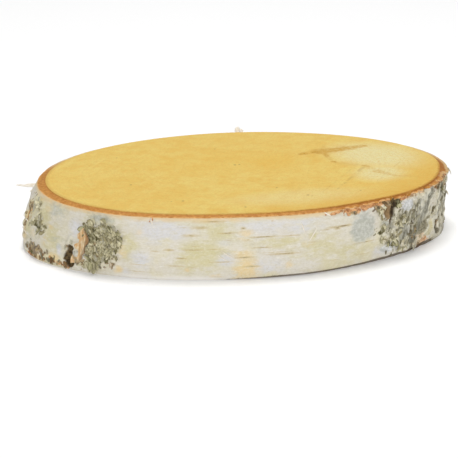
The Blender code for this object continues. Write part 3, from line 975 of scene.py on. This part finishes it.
# The scales. Where the bark has cracked, its dead outer layers stand as small angular plates,
# grey, cream or rust-brown, that have half come away and lie along the grain.
SCALE_PATCHES = (
    (330, 14, 7, 9, 0, 1), (337, 12, 6, 10, 0, 0.35), (352, 21, 8, 6, 0, 0.22),
    (4, 15, 9, 12, 0, 0.30), (326, 4.5, 5, 3, 0, 0.5), (206, 3, 9, 2.6, 0, 1),
    (203, 17, 6, 9, 0, 0.35), (217.5, 7, 3, 6, 0, 0.4), (228, 15, 6, 10, 0, 0.5),
    (72, 15, 14, 12, 0, 0.8), (122, 15, 11, 12, 0, 0.8), (150, 22, 6, 4, 0, 0.5),
)
SCALE_SPACING = 2.2
SCALE_THICKNESS = 0.34
SCALE_LENGTHS = (0.6, 2.0)
SCALE_WIDTHS = (0.35, 0.8)
SCALE_TIPS_UP = (-0.12, 0.22)

draw = np.random.default_rng(11)
scale_angle, scale_height = spots_in(SCALE_PATCHES, SCALE_SPACING, draw)[:2]
scale_height = np.clip(scale_height, 1.2, np.where(np.sin(scale_angle) < 0.0, 27.6, FAR_TOP))
scale_covers = bark_layers(scale_angle, scale_height)[0]
open_bark = (scale_covers["crack"] < 0.3) & (scale_covers["blue_white"] < 1.1)
open_bark &= (scale_covers["brown_plate"] < 0.3) & (scale_covers["band"] < 0.4)
scale_angle, scale_height = scale_angle[open_bark], scale_height[open_bark]
count = len(scale_angle)
leaning = smooth_step(signed_turn(scale_angle, RIDGES_FROM), 2.0, 14.0)
scale_turn = np.radians(90.0 - RIDGE_LEAN * leaning) + draw.normal(0.0, 0.35, count)
scale_turn = np.where(leaning > 0.0, scale_turn, scale_turn + draw.normal(0.0, 0.8, count))
frames = surface_frame(scale_angle, scale_height, -0.05)
tips_up = draw.uniform(*SCALE_TIPS_UP, count)
lengths = draw.uniform(*SCALE_LENGTHS, count) * (1.0 + 0.5 * leaning) * MM
widths = lengths * draw.uniform(*SCALE_WIDTHS, count)

bpy.ops.object.select_all(action="DESELECT")
bpy.ops.mesh.primitive_cylinder_add(vertices=7, radius=1.0, depth=2.0)
scale = bpy.context.object
form = point_places(scale)
form[:, 0] += 0.35
form[:, 2] += 0.5 * form[:, 0] ** 2
move_points(scale, form)
near_foot = smooth_step(-scale_height, -7.0, -3.0) * (abs(signed_turn(scale_angle, 208.0)) < 14.0)
rust = np.clip(0.9 * near_foot + draw.normal(-0.22, 0.25, count), 0.0, 1.0)
scale_shade = 0.6 * draw.random(count) + 0.9 * (mottle(frames[0] / MM, 5.0, 31) - 0.3)
scale_shade = np.clip(scale_shade, 0.0, 1.0) * (1.0 - 0.75 * near_foot)
values = {"rust": rust, "own_shade": scale_shade}
bark_scales = strewn_piece(
    "bark_scales", scale, frames, scale_turn, tips_up, lengths, widths, SCALE_THICKNESS, values
)
bark_scales.data.shade_flat()

scale_skin, tree, place = new_finish("bark_scales")
grit = grain(place, 700.0, 4.0, 0.7)
own_shade = kept("own_shade")
grey_scale = two_tones(own_shade, 0.0, 0.6, (112, 106, 80), (196, 191, 168))
grey_scale = coat(grey_scale, own_shade, 0.55, 0.9, 1.0, tone(224, 219, 204))
rust_scale = blend(own_shade, tone(112, 80, 46), tone(220, 182, 132))
colour = blend(step(kept("rust"), 0.25, 0.6), grey_scale, rust_scale)
colour = coat(colour, grit, 0.42, 0.7, 0.45, tone(126, 116, 86))
roughness = step(grit, 0.3, 0.7, 0.65, 0.85)
put_on(bark_scales, scale_skin, colour, roughness, 0.25, grit, 0.6, 0.0003)
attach(bark_scales, "root")

# The peeled flake. A tall pointed tongue of inner bark has come away beside the lichen; its left
# edge is still held and its right edge and tip stand off, with a dark gap behind.
FLAKE_FOOT, FLAKE_TIP = 4.0, 21.6
FLAKE_FOOT_TURN, FLAKE_TIP_TURN = 219.4, 222.3
FLAKE_BOW = 0.8
FLAKE_HALF_WIDTH = 3.1
FLAKE_THICKNESS = 0.35
FLAKE_ACROSS, FLAKE_UP = 9, 26

bpy.ops.object.select_all(action="DESELECT")
bpy.ops.mesh.primitive_grid_add(x_subdivisions=FLAKE_ACROSS, y_subdivisions=FLAKE_UP, size=2.0)
peeled_flake = bpy.context.object
peeled_flake.name = "peeled_flake"
peeled_flake.data.name = "peeled_flake"
form = point_places(peeled_flake)
sideways, up_part = form[:, 0], 0.5 * (form[:, 1] + 1.0)
grid_place = np.stack((4.0 * sideways, 16.0 * up_part, 0.0 * up_part), axis=1)
outline = np.interp(up_part, (0.0, 0.12, 0.45, 0.8, 0.92, 1.0), (0.7, 0.85, 0.95, 0.9, 0.45, 0.05))
outline = outline * (0.55 + 0.9 * mottle(grid_place, 1.5, 25))
turn_here = FLAKE_FOOT_TURN + (FLAKE_TIP_TURN - FLAKE_FOOT_TURN) * up_part
turn_here = turn_here + FLAKE_BOW * np.sin(np.pi * up_part**1.3)
offset = sideways * FLAKE_HALF_WIDTH * outline
flake_angle = np.radians(turn_here) + offset * MM / wood_radius(np.radians(turn_here))
flake_height = FLAKE_FOOT + (FLAKE_TIP - FLAKE_FOOT) * up_part + 0.5 * sideways * (1.0 - up_part)
free_edge = smooth_step(sideways, -0.9, 1.0)
stand_off = 0.25 + 1.5 * free_edge * np.sin(np.pi * up_part) ** 0.5 + 0.9 * up_part**4
stand_off = stand_off + 0.35 * (mottle(grid_place, 1.6, 26) - 0.5)
radius = wall_radius(flake_angle, flake_height * MM / wall_height)
radius = radius + (0.3 + stand_off) * MM
move_points(peeled_flake, on_trunk(flake_angle, radius, flake_height * MM))
keep_on_points(peeled_flake, "free_edge", free_edge)
bpy.ops.object.modifier_add(type="SOLIDIFY")
peeled_flake.modifiers[0].thickness = FLAKE_THICKNESS * MM
peeled_flake.modifiers[0].offset = -1.0
bpy.ops.object.modifier_apply(modifier=peeled_flake.modifiers[0].name)
turn_faces_out()
bpy.ops.object.shade_smooth_by_angle(angle=math.radians(40.0))

inner_bark, tree, place = new_finish("inner_bark")
fibres = grain(place, 700.0, 4.0, 0.65, (1.0, 1.0, 0.22))
patches = grain(place, 260.0, 4.0, 0.6)
colour = two_tones(fibres, 0.35, 0.65, (200, 156, 102), (234, 218, 180))
colour = coat(colour, patches, 0.45, 0.62, 0.6, tone(214, 158, 96))
# Painted shade: the free edge and tip are darkened for the shade of the gap behind them.
colour = coat(colour, kept("free_edge"), 0.8, 1.0, 0.75, tone(122, 90, 58))
roughness = step(patches, 0.3, 0.7, 0.6, 0.75)
put_on(peeled_flake, inner_bark, colour, roughness, 0.5, fibres, 0.6, 0.0003)
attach(peeled_flake, "root")

# Torn shreds. The saw left the rim frayed on one side, with short orange-brown shreds of inner
# bark along it, and a few longer pale slivers stand out on the left, right and far edges.
SHRED_ARC = (296.0, 378.0)
SHRED_COUNT = 120
SHRED_THICKNESS = 0.28

draw = np.random.default_rng(23)
shred_angle = np.radians(draw.uniform(*SHRED_ARC, SHRED_COUNT))
shred_height = 29.6 - draw.exponential(0.7, SHRED_COUNT)
frames = surface_frame(shred_angle, np.clip(shred_height, 26.0, 29.6), -0.25)
shred_turn = draw.uniform(-np.pi, 0.15 * np.pi, SHRED_COUNT)
tips_up = draw.uniform(0.0, 0.6, SHRED_COUNT)
lengths = draw.uniform(0.3, 1.0, SHRED_COUNT) * MM
widths = lengths * draw.uniform(0.2, 0.6, SHRED_COUNT)
bpy.ops.object.select_all(action="DESELECT")
bpy.ops.mesh.primitive_uv_sphere_add(segments=6, ring_count=4, radius=1.0)
shred = bpy.context.object
form = point_places(shred)
form[:, 0] += 0.6
form[:, 2] -= 1.2 * form[:, 0] ** 2
move_points(shred, form)
values = {"own_shade": draw.random(SHRED_COUNT)}
rim_shreds = strewn_piece(
    "rim_shreds", shred, frames, shred_turn, tips_up, lengths, widths, SHRED_THICKNESS, values
)
shred_skin, tree, place = new_finish("torn_inner_bark")
fibres = grain(place, 900.0, 3.0, 0.65)
own_shade = kept("own_shade")
colour = two_tones(own_shade, 0.0, 0.6, (128, 80, 40), (208, 142, 82))
colour = coat(colour, own_shade, 0.75, 0.98, 1.0, tone(224, 186, 138))
colour = coat(colour, fibres, 0.45, 0.7, 0.4, tone(160, 104, 62))
roughness = step(fibres, 0.3, 0.7, 0.6, 0.8)
put_on(rim_shreds, shred_skin, colour, roughness, 0.5, fibres, 0.5, 0.0002)
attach(rim_shreds, "root")

# Long slivers: where each is held, its bend and its tip, in degrees, millimetres up and
# millimetres off the bark, then half its width and half its thickness in millimetres.
SLIVERS = (
    ((188.4, 26.4, -1), (187, 26.4, 4), (186, 26.4, 9.6), 0.55, 0.16),
    ((187.6, 27.4, -0.8), (187, 26.8, 2.4), (186.6, 26.6, 5.4), 0.70, 0.16),
    ((189, 25.6, -0.4), (188.8, 25, 0.9), (188.4, 24, 1.4), 0.50, 0.16),
    ((200, 15, -0.3), (198, 15.2, 0.8), (194, 16.2, 1.5), 0.30, 0.16),
    ((201, 9, -0.3), (199, 9.6, 0.7), (195, 10.8, 1.2), 0.28, 0.16),
    ((92, 29.5, -0.8), (92, 31.8, -0.6), (91.8, 33.8, -0.5), 1.50, 0.25),
    ((90.6, 29.5, -0.8), (90.6, 31.2, -0.6), (90.4, 32.6, -0.5), 1.40, 0.22),
    ((7, 29, -0.6), (5.6, 28.4, 1.8), (5, 25.6, 2.2), 1.30, 0.12),
    ((9.5, 28.6, -0.4), (8.8, 27.6, 1.4), (7.6, 25.8, 1.6), 0.80, 0.12),
    ((4, 18.5, -0.6), (2, 18.2, 0.9), (1, 17.2, 1.2), 0.70, 0.35),
    ((289.8, 25.6, -0.2), (290.2, 23.6, 0.7), (291, 21.2, 0.3), 0.30, 0.10),
    ((295.6, 22.8, -0.2), (294.4, 20, 0.7), (292.6, 16.4, 0.3), 0.28, 0.10),
    ((298, 29.6, -0.3), (298.6, 29, 0.7), (300.2, 27.9, 0.5), 0.40, 0.16),
    ((241.2, 29.5, -0.3), (241, 28.6, 0.5), (241.6, 26.6, 0.1), 0.45, 0.14),
    ((262, 14.2, -0.2), (264, 12.4, 0.5), (266.2, 10.4, 0.1), 0.16, 0.10),
    ((260.6, 12.4, -0.2), (262.4, 10.8, 0.5), (264.4, 9, 0.1), 0.15, 0.10),
)
TOP_OF_SLICE = 31.0
bpy.ops.object.select_all(action="DESELECT")
slivers = []
for held, bend, tip, half_width, half_thickness in SLIVERS:
    bpy.ops.mesh.primitive_uv_sphere_add(segments=8, ring_count=14, radius=1.0)
    sliver = bpy.context.object
    form = point_places(sliver)
    part = 0.5 * (1.0 - form[:, 2])
    ways = []
    for turn_at, height_at, off in (held, bend, tip):
        spot = math.radians(turn_at)
        reach = wall_radius(np.array([spot]), np.array([min(height_at * MM / wall_height, 1.0)]))[0]
        ways.append(on_trunk(spot, reach + off * MM, height_at * MM))
    start, middle, end = ways
    run = ((1 - part) ** 2)[:, None] * start + (2 * part * (1 - part))[:, None] * middle
    run = run + (part**2)[:, None] * end
    forward = (end - start) / np.linalg.norm(end - start)
    spot = math.radians(held[0])
    out_of_bark = np.array((math.cos(spot), math.sin(spot), 0.25))
    side = np.cross(forward, out_of_bark)
    side /= np.linalg.norm(side)
    thin = np.cross(side, forward)
    width = half_width * MM * (0.75 + 0.5 * mottle(run / MM, 1.2, 27))
    run = run + (form[:, 0] * width)[:, None] * side
    run = run + (form[:, 1] * half_thickness * MM)[:, None] * thin
    move_points(sliver, run)
    # Painted light: slivers whose tips rise above the slice are marked for a bluish pure white, which
    # cancels the orange light the sawn wood throws on them.
    keep_on_points(sliver, "painted_light_white", np.full(len(run), float(tip[1] > TOP_OF_SLICE)))
    slivers.append(sliver)
for sliver in slivers:
    sliver.select_set(True)
bpy.context.view_layer.objects.active = slivers[0]
bpy.ops.object.join()
bark_slivers = bpy.context.object
bark_slivers.name = "bark_slivers"
bark_slivers.data.name = "bark_slivers"
turn_faces_out()
bpy.ops.object.shade_smooth()
sliver_skin, tree, place = new_finish("papery_sliver")
fibres = grain(place, 500.0, 4.0, 0.65)
colour = two_tones(fibres, 0.35, 0.65, (242, 235, 222), (228, 217, 198))
# Painted light: the marked slivers are painted a bluish pure white against the orange light from the
# wood.
colour = blend(kept("painted_light_white"), colour, tone(252, 253, 255))
roughness = step(fibres, 0.3, 0.7, 0.55, 0.75)
put_on(bark_slivers, sliver_skin, colour, roughness, 0.5, fibres, 0.4, 0.0002)
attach(bark_slivers, "root")

# The wood. It is the trunk itself, sawn flat above and below: pale end grain with faint growth
# rings round a pith beside the middle, faint straight saw marks, and one brown star-shaped shake.
SPOKES = 480
TOP_RINGS, FOOT_RINGS = 72, 8
WOOD_RINGS = TOP_RINGS + FOOT_RINGS
PITH = np.array((0.0126, 0.0160))
SHAKE_DEPTH = 0.0006

# Thin open shakes: both ends in millimetres, half width, strength.
SHAKES = (
    ((40.8, 34.6), (38.8, 33.2), 1.1, 1), ((34.4, 30.6), (32.6, 29.4), 1, 0.9),
    ((43.5, 35.8), (52, 41), 0.30, 0.4), ((44.4, 31), (45.1, 27.2), 0.30, 0.5),
    ((48.5, 14.8), (49, 13.2), 0.40, 0.8), ((70.6, -5), (73.4, -8.4), 0.40, 0.5),
)
# Brown stain that has soaked into the wood along the arms of the star: both ends in
# millimetres, half width, strength.
STAINS = (
    ((43.6, 36.6), (32.6, 29.6), 4.2, 0.42), ((41.2, 34.8), (38.6, 33), 3.6, 0.85),
    ((34.4, 30.6), (32.2, 29.2), 3.6, 0.75), ((42.6, 34.8), (57, 41.8), 7.6, 0.80),
    ((56, 41.4), (66, 46.6), 6.6, 0.58), ((43.6, 36.5), (45, 48), 3, 0.30),
    ((43.4, 38.2), (45.6, 24), 3.4, 0.62), ((45.6, 24), (49, 13.4), 2.6, 0.34),
    ((48.4, 15.2), (49, 13.2), 2.4, 0.70), ((51.3, 12.1), (64, 7), 4.4, 0.24),
    ((63, 7.4), (65.2, 4.6), 2.8, 0.55), ((64.6, 5.2), (69.2, -3), 3.4, 0.28),
    ((69, -2.6), (73.6, -8.6), 4.6, 0.42), ((73.4, -8.6), (79.8, -12.7), 3.8, 0.36),
    ((79.8, -12.7), (87, -12.9), 3.4, 0.30),
)
# One saw mark cut deeper than the others: both ends, half width, strength.
DEEP_MARKS = (
    ((63.5, 6.4), (46.8, -35.2), 1.5, 0.30), ((60, 10), (40, -39), 0.6, 0.18),
    ((84, 20), (66, -24), 0.6, 0.16),
)
# Dark specks in the wood: middle in millimetres, half size.
SPECKS = (
    ((-26.1, -55.3), 0.9), ((-31.5, -56), 0.5), ((2.7, -65), 0.8), ((32.5, -45.4), 0.9),
    ((34.2, -47), 0.5), ((-1.6, 8.3), 1), ((0.6, 9.6), 0.8), ((-52, -28), 0.8), ((-62, 22), 0.7),
    ((18, -33), 0.7), ((58, -38), 0.6), ((-12, 40), 0.6),
)

bpy.ops.object.select_all(action="DESELECT")
bpy.ops.mesh.primitive_uv_sphere_add(segments=SPOKES, ring_count=WOOD_RINGS, radius=1.0)
wood = bpy.context.object
wood.name = "sawn_wood"
wood.data.name = "sawn_wood"


def along_lines(lines, points):
    """How near points in millimetres lie to tapering lines, 1 on a line and 0 past its width."""
    cover = np.zeros(len(points))
    for start, end, half_width, strength in lines:
        start, end = np.array(start), np.array(end)
        run = end - start
        part = np.clip(((points - start) @ run) / (run @ run), 0.0, 1.0)
        reach = np.linalg.norm(points - start - part[:, None] * run, axis=1)
        width = half_width * (1.0 - 0.45 * part)
        cover = np.maximum(cover, strength * np.clip(1.5 - 1.5 * reach / width, 0.0, 1.0))
    return cover


ball = point_places(wood)
ring = np.rint(np.arccos(np.clip(ball[:, 2], -1.0, 1.0)) / np.pi * WOOD_RINGS)
spoke_angle = np.arctan2(ball[:, 1], ball[:, 0])
edge = TRUNK_MIDDLE + sawn_edge(spoke_angle)[:, None] * np.stack(
    (np.cos(spoke_angle), np.sin(spoke_angle)), axis=1
)
part = np.where(ring <= TOP_RINGS, ring / TOP_RINGS, (WOOD_RINGS - ring) / FOOT_RINGS)
part = np.where(ring == TOP_RINGS + 1, 1.0, part)
foot_share = (wood_foot_radius(spoke_angle) / sawn_edge(spoke_angle))[:, None]
edge = np.where((ring > TOP_RINGS)[:, None], TRUNK_MIDDLE + foot_share * (edge - TRUNK_MIDDLE), edge)
flat = PITH + part[:, None] * (edge - PITH)
wood_height = np.where(ring <= TOP_RINGS, THICKNESS, 0.0)
move_points(wood, np.column_stack((flat, wood_height)))

# The mesh is made finer where a stain, a mark or a speck needs it.
MARKED = [(start, end, width + 1.5, 1.0) for start, end, width, strength in STAINS + DEEP_MARKS]
MARKED += [(middle, (middle[0] + 0.1, middle[1]), half_size + 1.8, 1.0) for middle, half_size in SPECKS]
for refinement in range(2):
    bpy.ops.object.mode_set(mode="EDIT")
    bpy.ops.mesh.select_mode(type="FACE")
    bpy.ops.mesh.select_all(action="DESELECT")
    bpy.ops.object.mode_set(mode="OBJECT")
    centres = np.array([face.center[:] for face in wood.data.polygons])
    near = along_lines(MARKED, centres[:, :2] / MM) > 0.2 * refinement
    near &= centres[:, 2] > 0.9 * THICKNESS
    wood.data.polygons.foreach_set("select", near)
    bpy.ops.object.mode_set(mode="EDIT")
    bpy.ops.mesh.subdivide(number_cuts=1)
    bpy.ops.object.mode_set(mode="OBJECT")

points = point_places(wood)
flat_mm = points[:, :2] / MM
sawn_place = points / MM
on_top = points[:, 2] > 0.9 * THICKNESS
wander = np.stack(
    (mottle(sawn_place, 3.0, 20) - 0.5, mottle(sawn_place, 3.0, 21) - 0.5), axis=1
)
shake = along_lines(SHAKES, flat_mm + 1.2 * wander) * on_top
shake = smooth_step(shake * (0.35 + 1.3 * mottle(sawn_place, 1.6, 22)), 0.3, 1.2)
stain = along_lines(STAINS, flat_mm + 1.2 * wander) * on_top
marks = along_lines(DEEP_MARKS, flat_mm + 0.8 * wander) * on_top
marks = marks * smooth_step(mottle(sawn_place, 2.0, 23), 0.3, 0.6)
points[:, 2] -= SHAKE_DEPTH * shake
move_points(wood, points)

# The share of the way from the pith to the bark, which the growth rings follow.
outline_angle = np.linspace(0.0, 2.0 * np.pi, 721)
outline = TRUNK_MIDDLE + sawn_edge(outline_angle)[:, None] * np.stack(
    (np.cos(outline_angle), np.sin(outline_angle)), axis=1
)
from_pith = outline - PITH
pith_angle = np.unwrap(np.arctan2(from_pith[:, 1], from_pith[:, 0]))
point_from_pith = points[:, :2] - PITH
point_angle = np.arctan2(point_from_pith[:, 1], point_from_pith[:, 0])
reach = np.interp(
    point_angle, pith_angle, np.linalg.norm(from_pith, axis=1), period=2.0 * np.pi
)
growth = np.clip(np.linalg.norm(point_from_pith, axis=1) / reach, 0.0, 1.0)


def blot(points, middle, half_length, half_width, turn):
    """A soft oval blot on the sawn face, 1 in its middle and 0 past its edge, in millimetres."""
    offset = points - np.array(middle)
    turn = math.radians(turn)
    along = (offset[:, 0] * math.cos(turn) + offset[:, 1] * math.sin(turn)) / half_length
    across = (offset[:, 1] * math.cos(turn) - offset[:, 0] * math.sin(turn)) / half_width
    return smooth_step(1.0 - np.hypot(along, across), 0.0, 0.7)


pale = np.maximum(
    blot(flat_mm, (71.0, 28.0), 30.0, 37.0, 35.0),
    0.9 * blot(flat_mm, (70.0, -6.0), 21.0, 17.0, 60.0),
)
pale = np.maximum(pale, 0.42 * blot(flat_mm, (30.0, -48.0), 48.0, 17.0, 14.0))
warm = np.maximum(
    blot(flat_mm, (18.0, 16.0), 24.0, 20.0, 20.0),
    0.45 * blot(flat_mm, (-10.0, 14.0), 70.0, 34.0, 0.0),
)
rim_side = np.clip(1.0 - abs(signed_turn(point_angle, -42.0)) / 54.0, 0.0, 1.0)
rim_warm = smooth_step(growth, 0.74, 1.0) * np.sqrt(rim_side)
speck = np.zeros(len(points))
for middle, half_size in SPECKS:
    away = np.linalg.norm(flat_mm + 0.5 * wander - np.array(middle), axis=1)
    speck = np.maximum(speck, np.clip(1.3 - away / half_size, 0.0, 1.0))
wood_turn = np.degrees(point_angle) % 360.0
wood_covers = {
    "growth": growth,
    "shake": shake,
    "stain": stain,
    "deep_marks": marks,
    "speck": speck * on_top,
    "pale": pale,
    "warm": warm,
    "rim_warm": rim_warm,
    "torn_side": smooth_step(wood_turn, 250.0, 306.0) * smooth_step(-wood_turn, -360.0, -352.0),
    "near_side": smooth_step(wood_turn, 170.0, 190.0),
}
for name, cover in wood_covers.items():
    keep_on_points(wood, name, cover)
bpy.ops.object.shade_smooth_by_angle(angle=math.radians(35.0))

wood_grain, tree, place = new_finish("sawn_birch")
cloud = step(grain(place, 26.0, 4.0), 0.35, 0.65)
blotch = step(grain(place, 110.0, 5.0, 0.65), 0.33, 0.67)
mottled = step(grain(place, 420.0, 5.0, 0.7), 0.33, 0.67)
fine = grain(place, 1600.0, 3.0, 0.7)
green_speckle = grain(place, 640.0, 4.0, 0.7, (1.0, 0.6, 1.0))
SAW_TURN = math.radians(-68.0)
saw_place = node(
    "ShaderNodeMapping", {"Vector": place, "Rotation": (0.0, 0.0, SAW_TURN)}
).outputs[0]
saw_marks = grain(saw_place, 420.0, 3.0, 0.6, (0.04, 1.0, 1.0))

# Growth rings lie at uneven distances, so they are noise along the way from pith to bark.
ring_wobble = times(grain(place, 40.0, 3.0), 0.05)
ring_place = plus(kept("growth"), ring_wobble)
ring_line = node(
    "ShaderNodeTexNoise", {"W": ring_place, "Scale": 62.0, "Detail": 3.0}, noise_dimensions="1D"
).outputs["Fac"]

colour = blend(blotch, tone(226, 184, 88), tone(231, 204, 115))
colour = blend(times(cloud, 0.4), colour, tone(229, 190, 95))
colour = blend(times(kept("pale"), 0.95), colour, tone(229, 219, 166))
colour = blend(times(kept("warm"), 0.6), colour, tone(227, 180, 74))
warm_edge = times(kept("rim_warm"), plus(mottled, 0.4))
colour = blend(times(warm_edge, 0.85), colour, tone(216, 162, 58))
colour = coat(colour, ring_line, 0.52, 0.68, 0.12, tone(206, 156, 66))
colour = coat(colour, saw_marks, 0.55, 0.75, 0.22, tone(212, 170, 84))
colour = coat(colour, saw_marks, 0.45, 0.25, 0.20, tone(238, 216, 140))
colour = blend(times(mottled, 0.24), colour, tone(240, 216, 136))
colour = coat(colour, green_speckle, 0.5, 0.68, 0.3, tone(214, 196, 104))
colour = coat(colour, green_speckle, 0.46, 0.32, 0.3, tone(222, 172, 78))
colour = coat(colour, fine, 0.5, 0.66, 0.4, tone(204, 156, 66))
pores = node("ShaderNodeTexVoronoi", {"Vector": place, "Scale": 95.0})
pore = step(pores.outputs["Distance"], 0.045, 0.02, 0.0, 0.4)
colour = blend(pore, colour, tone(176, 128, 56))
stain_cover = times(kept("stain"), plus(mottled, 0.6))
colour = coat(colour, stain_cover, 0.05, 0.95, 0.9, tone(202, 157, 70))
colour = blend(kept("deep_marks"), colour, tone(168, 124, 56))
colour = coat(colour, kept("speck"), 0.3, 1.0, 0.65, tone(118, 84, 44))
colour = blend(times(kept("shake"), 0.5), colour, tone(134, 92, 42))
edge_reach = plus(kept("growth"), times(mottled, 0.006))
edge_line = step(edge_reach, 0.982, 1.004)
edge_depth = times(kept("near_side"), 0.3)
edge_depth = plus(times(kept("torn_side"), 0.6), edge_depth)
colour = blend(times(edge_line, edge_depth), colour, tone(176, 116, 44))
roughness = step(mottled, 0.0, 1.0, 0.58, 0.7)
saw_relief = plus(times(saw_marks, 0.6), times(fine, 0.5))
put_on(wood, wood_grain, colour, roughness, 0.25, saw_relief, 0.35, 0.0003)
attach(wood, "root")
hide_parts("birch_slice")
